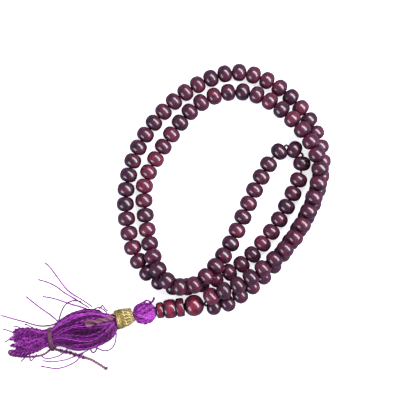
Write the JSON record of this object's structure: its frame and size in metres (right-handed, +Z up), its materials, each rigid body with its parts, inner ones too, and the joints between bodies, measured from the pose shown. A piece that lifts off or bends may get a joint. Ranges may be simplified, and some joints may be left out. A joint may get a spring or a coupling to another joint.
{
  "type": "mala prayer beads",
  "caption": "String of prayer beads in turned, lacquered wood with a larger guru bead, turned spacers and a bound silk tassel, lying as a double loop.",
  "frame": {"origin": "centre of the laid-down object's box, on the plane that it lies on", "axes": "+Z up; +X from the tassel's ragged end towards the strand's far side; +Y from the tassel side towards the far end of the loop"},
  "size_m": [0.1537, 0.1428, 0.0164],
  "materials": {
    "rosewood": "dark red-brown turned wood under gloss lacquer",
    "red_rosewood": "red turned wood under gloss lacquer",
    "cord": "dark twisted cord",
    "silk": "purple silk thread with a soft sheen",
    "gold_thread": "gold metallic thread",
    "tie_thread": "maroon thread"
  },
  "bodies": {
    "strand": {"stringing_cord": "cord", "beads_003_to_008": "rosewood", "beads_010_to_014": "rosewood", "beads_016_to_020": "rosewood", "beads_023_to_028": "rosewood", "beads_030_to_035": "rosewood", "beads_042_to_049": "rosewood", "beads_054_to_059": "rosewood", "beads_061_to_065": "rosewood", "beads_068_to_073": "rosewood", "beads_075_to_080": "rosewood", "beads_082_to_086": "rosewood", "beads_088_to_094": "rosewood", "beads_096_to_100": "rosewood", "beads_102_to_106": "rosewood"},
    "pendant": {"pendant_cord": "cord"},
    "guru_bead": {"guru_bead": "red_rosewood"},
    "guru_disc": {"guru_disc": "red_rosewood"},
    "guru_barrel": {"guru_barrel": "red_rosewood"},
    "guru_collar": {"guru_collar": "red_rosewood"},
    "tassel_head": {"tassel_head": "silk", "gold_binding": "gold_thread"},
    "tassel_skirt": {"tassel_skirt": "silk", "lower_tie": "tie_thread", "tie_tail_long": "tie_thread", "tie_tail_short": "tie_thread", "loose_thread_1": "silk", "loose_thread_2": "silk", "loose_thread_3": "silk", "loose_thread_4": "silk", "loose_thread_5": "silk", "loose_thread_6": "silk"},
    "tassel_brush": {"tassel_brush": "silk"},
    "bead_001": {"bead_001": "rosewood"},
    "bead_002": {"bead_002": "rosewood"},
    "bead_009": {"bead_009": "rosewood"},
    "bead_015": {"bead_015": "rosewood"},
    "bead_021": {"bead_021": "rosewood"},
    "bead_022": {"bead_022": "rosewood"},
    "bead_029": {"bead_029": "rosewood"},
    "bead_036": {"bead_036": "rosewood"},
    "bead_037": {"bead_037": "rosewood"},
    "bead_038": {"bead_038": "rosewood"},
    "bead_039": {"bead_039": "rosewood"},
    "bead_040": {"bead_040": "rosewood"},
    "bead_041": {"bead_041": "rosewood"},
    "bead_050": {"bead_050": "rosewood"},
    "bead_051": {"bead_051": "rosewood"},
    "bead_052": {"bead_052": "rosewood"},
    "bead_053": {"bead_053": "rosewood"},
    "bead_060": {"bead_060": "rosewood"},
    "bead_066": {"bead_066": "rosewood"},
    "bead_067": {"bead_067": "rosewood"},
    "bead_074": {"bead_074": "rosewood"},
    "bead_081": {"bead_081": "rosewood"},
    "bead_087": {"bead_087": "rosewood"},
    "bead_095": {"bead_095": "rosewood"},
    "bead_101": {"bead_101": "rosewood"},
    "bead_107": {"bead_107": "rosewood"},
    "bead_108": {"bead_108": "rosewood"}
  },
  "joints": [
    {"name": "pendant_swing", "type": "hinge", "parent": "strand", "child": "pendant", "pos_m": [0.0135, -0.0421, 0.00495], "axis": [0, 0, 1], "range_deg": [-10, 35]},
    {"name": "head_turn", "type": "hinge", "parent": "pendant", "child": "tassel_head", "pos_m": [-0.0094, -0.0454, 0.0048], "axis": [0, 0, 1], "range_deg": [-15, 15]},
    {"name": "tassel_lift", "type": "hinge", "parent": "tassel_head", "child": "tassel_skirt", "pos_m": [-0.0265, -0.0509, 0.005], "axis": [-0.2793, 0.9602, 0], "range_deg": [0, 55]},
    {"name": "brush_lift", "type": "hinge", "parent": "tassel_skirt", "child": "tassel_brush", "pos_m": [-0.0585, -0.0579, 0.0035], "axis": [-0.1322, 0.9912, 0], "range_deg": [0, 45]},
    {"name": "guru_spin", "type": "hinge", "parent": "strand", "child": "guru_bead", "pos_m": [0.0135, -0.0421, 0.00495], "axis": [-0.9902, -0.139, -0.013], "continuous": true},
    {"name": "disc_spin", "type": "hinge", "parent": "pendant", "child": "guru_disc", "pos_m": [0.00696, -0.04302, 0.00486], "axis": [-0.9902, -0.139, -0.013], "continuous": true},
    {"name": "barrel_spin", "type": "hinge", "parent": "pendant", "child": "guru_barrel", "pos_m": [0.00236, -0.04366, 0.0048], "axis": [-0.9902, -0.139, -0.013], "continuous": true},
    {"name": "collar_spin", "type": "hinge", "parent": "pendant", "child": "guru_collar", "pos_m": [-0.00229, -0.04432, 0.00474], "axis": [-0.9902, -0.139, -0.013], "continuous": true},
    {"name": "bead_001_spin", "type": "hinge", "parent": "strand", "child": "bead_001", "pos_m": [0.02159, -0.03789, 0.00997], "axis": [0.6956, 0.4997, 0.5162], "continuous": true},
    {"name": "bead_002_spin", "type": "hinge", "parent": "strand", "child": "bead_002", "pos_m": [0.02729, -0.03529, 0.01195], "axis": [0.9646, 0.2567, 0.0607], "continuous": true},
    {"name": "bead_009_spin", "type": "hinge", "parent": "strand", "child": "bead_009", "pos_m": [0.06326, -0.00509, 0.0122], "axis": [0.4729, 0.8811, 0.0005], "continuous": true},
    {"name": "bead_015_spin", "type": "hinge", "parent": "strand", "child": "bead_015", "pos_m": [0.06744, 0.03352, 0.01062], "axis": [-0.4807, 0.8679, -0.125], "continuous": true},
    {"name": "bead_021_spin", "type": "hinge", "parent": "strand", "child": "bead_021", "pos_m": [0.03626, 0.05758, 0.00472], "axis": [-0.9886, 0.1166, -0.0948], "continuous": true},
    {"name": "bead_022_spin", "type": "hinge", "parent": "strand", "child": "bead_022", "pos_m": [0.02948, 0.05742, 0.00421], "axis": [-0.9855, -0.1609, -0.0544], "continuous": true},
    {"name": "bead_029_spin", "type": "hinge", "parent": "strand", "child": "bead_029", "pos_m": [-0.00447, 0.02605, 0.00399], "axis": [-0.5038, -0.8638, 0.0008], "continuous": true},
    {"name": "bead_036_spin", "type": "hinge", "parent": "strand", "child": "bead_036", "pos_m": [-0.00534, -0.01968, 0.00847], "axis": [0.2866, -0.8454, 0.4507], "continuous": true},
    {"name": "bead_037_spin", "type": "hinge", "parent": "strand", "child": "bead_037", "pos_m": [-0.0029, -0.02556, 0.01094], "axis": [0.4237, -0.8653, 0.2679], "continuous": true},
    {"name": "bead_038_spin", "type": "hinge", "parent": "strand", "child": "bead_038", "pos_m": [0.00117, -0.03072, 0.0122], "axis": [0.7635, -0.6382, 0.0985], "continuous": true},
    {"name": "bead_039_spin", "type": "hinge", "parent": "strand", "child": "bead_039", "pos_m": [0.00716, -0.03358, 0.01247], "axis": [0.9803, -0.1966, -0.0188], "continuous": true},
    {"name": "bead_040_spin", "type": "hinge", "parent": "strand", "child": "bead_040", "pos_m": [0.01359, -0.03272, 0.01252], "axis": [0.8929, 0.4492, 0.0313], "continuous": true},
    {"name": "bead_041_spin", "type": "hinge", "parent": "strand", "child": "bead_041", "pos_m": [0.0191, -0.02888, 0.01188], "axis": [0.7125, 0.6674, -0.2167], "continuous": true},
    {"name": "bead_050_spin", "type": "hinge", "parent": "strand", "child": "bead_050", "pos_m": [0.04825, 0.02363, 0.00399], "axis": [0.5119, 0.8591, -0.0002], "continuous": true},
    {"name": "bead_051_spin", "type": "hinge", "parent": "strand", "child": "bead_051", "pos_m": [0.05325, 0.02963, 0.004], "axis": [0.7271, 0.6866, 0.0008], "continuous": true},
    {"name": "bead_052_spin", "type": "hinge", "parent": "strand", "child": "bead_052", "pos_m": [0.06037, 0.03053, 0.004], "axis": [0.875, -0.4841, 0], "continuous": true},
    {"name": "bead_053_spin", "type": "hinge", "parent": "strand", "child": "bead_053", "pos_m": [0.06384, 0.02395, 0.004], "axis": [-0.0968, -0.9953, 0], "continuous": true},
    {"name": "bead_060_spin", "type": "hinge", "parent": "strand", "child": "bead_060", "pos_m": [0.0407, -0.01848, 0.004], "axis": [-0.7021, -0.7121, 0], "continuous": true},
    {"name": "bead_066_spin", "type": "hinge", "parent": "strand", "child": "bead_066", "pos_m": [0.00369, -0.03323, 0.004], "axis": [-0.9853, 0.1706, 0], "continuous": true},
    {"name": "bead_067_spin", "type": "hinge", "parent": "strand", "child": "bead_067", "pos_m": [-0.00267, -0.03094, 0.004], "axis": [-0.8685, 0.4958, 0], "continuous": true},
    {"name": "bead_074_spin", "type": "hinge", "parent": "strand", "child": "bead_074", "pos_m": [-0.01818, 0.01185, 0.004], "axis": [0.1162, 0.9932, 0], "continuous": true},
    {"name": "bead_081_spin", "type": "hinge", "parent": "strand", "child": "bead_081", "pos_m": [0.00405, 0.05319, 0.004], "axis": [0.7422, 0.6702, 0], "continuous": true},
    {"name": "bead_087_spin", "type": "hinge", "parent": "strand", "child": "bead_087", "pos_m": [0.04133, 0.0657, 0.004], "axis": [0.9541, -0.2993, 0], "continuous": true},
    {"name": "bead_095_spin", "type": "hinge", "parent": "strand", "child": "bead_095", "pos_m": [0.0733, 0.0251, 0.004], "axis": [-0.0018, -1, 0], "continuous": true},
    {"name": "bead_101_spin", "type": "hinge", "parent": "strand", "child": "bead_101", "pos_m": [0.05834, -0.01254, 0.004], "axis": [-0.5611, -0.8277, 0], "continuous": true},
    {"name": "bead_107_spin", "type": "hinge", "parent": "strand", "child": "bead_107", "pos_m": [0.02911, -0.04098, 0.00399], "axis": [-0.8587, -0.5125, -0.0031], "continuous": true},
    {"name": "bead_108_spin", "type": "hinge", "parent": "strand", "child": "bead_108", "pos_m": [0.02274, -0.04252, 0.00414], "axis": [-0.9967, 0.0656, 0.0477], "continuous": true}
  ]
}
